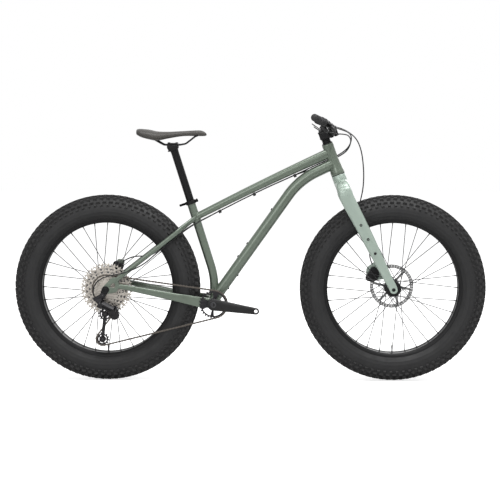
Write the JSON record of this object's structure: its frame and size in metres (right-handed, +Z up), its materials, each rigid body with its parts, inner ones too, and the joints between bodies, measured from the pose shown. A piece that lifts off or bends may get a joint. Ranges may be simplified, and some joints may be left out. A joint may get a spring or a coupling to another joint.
{
  "type": "mountain bicycle",
  "caption": "Fat-tyred rigid mountain bike with a wide cassette, rear derailleur, disc brakes, riser bar and quick-release seat post, shown without pedals.",
  "frame": {"origin": "on the ground, midway between the two tyres, in the bike's middle plane", "axes": "+X forward along the bike, +Y to the rider's left, +Z up; the drive side faces -Y"},
  "size_m": [1.931, 0.7908, 1.0885],
  "materials": {
    "frame_paint": "metallic gloss",
    "fork_paint": "satin",
    "tread_rubber": "matte",
    "black_alloy": "satin anodised",
    "bright_steel": "brushed",
    "gear_steel": "satin nickel",
    "chain_steel": "satin",
    "grip_rubber": "matte",
    "control_plastic": "satin",
    "hose_plastic": "satin",
    "derailleur_black": "satin",
    "saddle_cover": "matte",
    "rail_steel": "satin",
    "pad_compound": "matte",
    "fitting_black": "satin"
  },
  "bodies": {
    "frame": {"head_tube": "frame_paint", "top_tube": "frame_paint", "down_tube": "frame_paint", "seat_tube": "frame_paint", "bottom_bracket_shell": "frame_paint", "chain_stays": "frame_paint", "seat_stays": "frame_paint", "dropouts": "frame_paint", "derailleur_hanger": "black_alloy", "frame_bearings": "black_alloy", "seat_collar": "black_alloy", "frame_fittings": "fitting_black", "frame_hoses": "hose_plastic", "rear_caliper": "black_alloy", "rear_axle": "black_alloy", "chain": "chain_steel", "derailleur_knuckle_upper": "derailleur_black"},
    "steering": {"fork": "fork_paint", "headset_spacers": "black_alloy", "stem": "black_alloy", "handlebar": "black_alloy", "grips": "grip_rubber", "brake_lever_bodies": "control_plastic", "shifter_body": "control_plastic", "front_axle": "black_alloy", "front_caliper": "black_alloy", "front_hose": "hose_plastic", "loop_hoses": "hose_plastic"},
    "brake_lever_left": {"brake_lever_left": "control_plastic"},
    "brake_lever_right": {"brake_lever_right": "control_plastic"},
    "shift_lever_up": {"shift_lever_up": "control_plastic"},
    "shift_lever_down": {"shift_lever_down": "control_plastic"},
    "front_pad_outer": {"front_pad_outer": "pad_compound"},
    "front_pad_inner": {"front_pad_inner": "pad_compound"},
    "rear_pad_outer": {"rear_pad_outer": "pad_compound"},
    "rear_pad_inner": {"rear_pad_inner": "pad_compound"},
    "front_wheel": {"front_tyre": "tread_rubber", "front_rim": "black_alloy", "front_spokes": "bright_steel", "front_hub": "black_alloy", "front_rotor": "bright_steel"},
    "rear_wheel": {"rear_tyre": "tread_rubber", "rear_rim": "black_alloy", "rear_spokes": "bright_steel", "rear_hub": "black_alloy", "rear_rotor": "bright_steel"},
    "cassette": {"cassette": "gear_steel"},
    "crank": {"crank_arm_right": "black_alloy", "crank_arm_left": "black_alloy", "chainring": "chain_steel"},
    "link_inner": {"derailleur_link_inner": "derailleur_black"},
    "link_outer": {"derailleur_link_outer": "derailleur_black"},
    "knuckle_lower": {"derailleur_knuckle_lower": "derailleur_black"},
    "cage": {"derailleur_cage": "derailleur_black"},
    "guide_pulley": {"guide_pulley": "derailleur_black"},
    "tension_pulley": {"tension_pulley": "derailleur_black"},
    "seat": {"seatpost": "black_alloy", "saddle": "saddle_cover", "saddle_rails": "rail_steel"},
    "qr_lever": {"qr_lever": "black_alloy"}
  },
  "joints": [
    {"name": "steer", "type": "hinge", "parent": "frame", "child": "steering", "pos_m": [0.35945, 0, 0.84638], "axis": [-0.3371, 0, 0.9415], "range_deg": [-60, 60], "deforming": ["loop_hoses"]},
    {"name": "front_wheel_spin", "type": "hinge", "parent": "steering", "child": "front_wheel", "pos_m": [0.5845, 0, 0.381], "axis": [0, 1, 0], "continuous": true},
    {"name": "rear_wheel_spin", "type": "hinge", "parent": "frame", "child": "rear_wheel", "pos_m": [-0.5845, 0, 0.381], "axis": [0, 1, 0], "continuous": true},
    {"name": "crank_spin", "type": "hinge", "parent": "frame", "child": "crank", "pos_m": [-0.14738, 0, 0.319], "axis": [0, 1, 0], "continuous": true, "deforming": ["chain"]},
    {"name": "cassette_spin", "type": "hinge", "parent": "frame", "child": "cassette", "pos_m": [-0.5845, 0, 0.381], "axis": [0, 1, 0], "continuous": true, "deforming": ["chain"]},
    {"name": "derailleur_sweep", "type": "hinge", "parent": "frame", "child": "link_inner", "pos_m": [-0.6007, -0.112, 0.3184], "axis": [0.2876, 0.7658, 0.5752], "range_deg": [-40, 9], "deforming": ["chain"]},
    {"name": "link_outer_turn", "type": "hinge", "parent": "frame", "child": "link_outer", "pos_m": [-0.59591, -0.121, 0.32799], "axis": [0.2876, 0.7658, 0.5752], "range_deg": [-40, 9]},
    {"name": "knuckle_turn", "type": "hinge", "parent": "link_inner", "child": "knuckle_lower", "pos_m": [-0.55598, -0.112, 0.29604], "axis": [0.2876, 0.7658, 0.5752], "range_deg": [-9, 40], "deforming": ["chain"]},
    {"name": "cage_pivot", "type": "hinge", "parent": "knuckle_lower", "child": "cage", "pos_m": [-0.548, 0, 0.276], "axis": [0, -1, 0], "range_deg": [0, 35], "stiffness_Nm_per_rad": 1.5, "springref_deg": -22.92, "deforming": ["chain"]},
    {"name": "guide_pulley_spin", "type": "hinge", "parent": "cage", "child": "guide_pulley", "pos_m": [-0.59002, 0, 0.27743], "axis": [0, 1, 0], "continuous": true, "deforming": ["chain"]},
    {"name": "tension_pulley_spin", "type": "hinge", "parent": "cage", "child": "tension_pulley", "pos_m": [-0.60063, 0, 0.17527], "axis": [0, 1, 0], "continuous": true, "deforming": ["chain"]},
    {"name": "seat_slide", "type": "slide", "parent": "frame", "child": "seat", "axis": [-0.3007, 0, 0.9537], "range_m": [-0.1, 0.03]},
    {"name": "qr_lever_turn", "type": "hinge", "parent": "frame", "child": "qr_lever", "pos_m": [-0.21736, 0.013, 0.73843], "axis": [0.3007, 0, -0.9537], "range_deg": [0, 120]},
    {"name": "brake_lever_left_squeeze", "type": "hinge", "parent": "steering", "child": "brake_lever_left", "pos_m": [0.33191, 0.25025, 1.04065], "axis": [0.4694, 0.0117, 0.8829], "range_deg": [0, 14], "stiffness_Nm_per_rad": 1, "springref_deg": -17.19},
    {"name": "brake_lever_right_squeeze", "type": "hinge", "parent": "steering", "child": "brake_lever_right", "pos_m": [0.33191, -0.25025, 1.04065], "axis": [-0.4694, 0.0117, -0.8829], "range_deg": [0, 14], "stiffness_Nm_per_rad": 1, "springref_deg": -17.19},
    {"name": "shift_lever_up_push", "type": "hinge", "parent": "steering", "child": "shift_lever_up", "pos_m": [0.28875, -0.18664, 1.02455], "axis": [0.5732, -0.0384, 0.8185], "range_deg": [0, 20], "stiffness_Nm_per_rad": 0.3, "springref_deg": -17.19},
    {"name": "shift_lever_down_push", "type": "hinge", "parent": "steering", "child": "shift_lever_down", "pos_m": [0.28875, -0.18664, 1.02455], "axis": [0.5732, -0.0384, 0.8185], "range_deg": [0, 20], "stiffness_Nm_per_rad": 0.3, "springref_deg": -17.19},
    {"name": "front_pad_outer_slide", "type": "slide", "parent": "steering", "child": "front_pad_outer", "axis": [0, -1, 0], "range_m": [0, 0.00036]},
    {"name": "front_pad_inner_slide", "type": "slide", "parent": "steering", "child": "front_pad_inner", "axis": [0, 1, 0], "range_m": [0, 0.00036]},
    {"name": "rear_pad_outer_slide", "type": "slide", "parent": "frame", "child": "rear_pad_outer", "axis": [0, -1, 0], "range_m": [0, 0.00036]},
    {"name": "rear_pad_inner_slide", "type": "slide", "parent": "frame", "child": "rear_pad_inner", "axis": [0, 1, 0], "range_m": [0, 0.00036]}
  ],
  "couplings": [
    {"joint": "cassette_spin", "follows": "crank_spin", "ratio": 1},
    {"joint": "guide_pulley_spin", "follows": "crank_spin", "ratio": -2.1538},
    {"joint": "tension_pulley_spin", "follows": "crank_spin", "ratio": 2.1538},
    {"joint": "link_outer_turn", "follows": "derailleur_sweep", "ratio": 1},
    {"joint": "knuckle_turn", "follows": "derailleur_sweep", "ratio": -1},
    {"joint": "front_pad_outer_slide", "follows": "brake_lever_left_squeeze", "m_per_rad": 0.0014324},
    {"joint": "front_pad_inner_slide", "follows": "brake_lever_left_squeeze", "m_per_rad": 0.0014324},
    {"joint": "rear_pad_outer_slide", "follows": "brake_lever_right_squeeze", "m_per_rad": 0.0014324},
    {"joint": "rear_pad_inner_slide", "follows": "brake_lever_right_squeeze", "m_per_rad": 0.0014324}
  ]
}
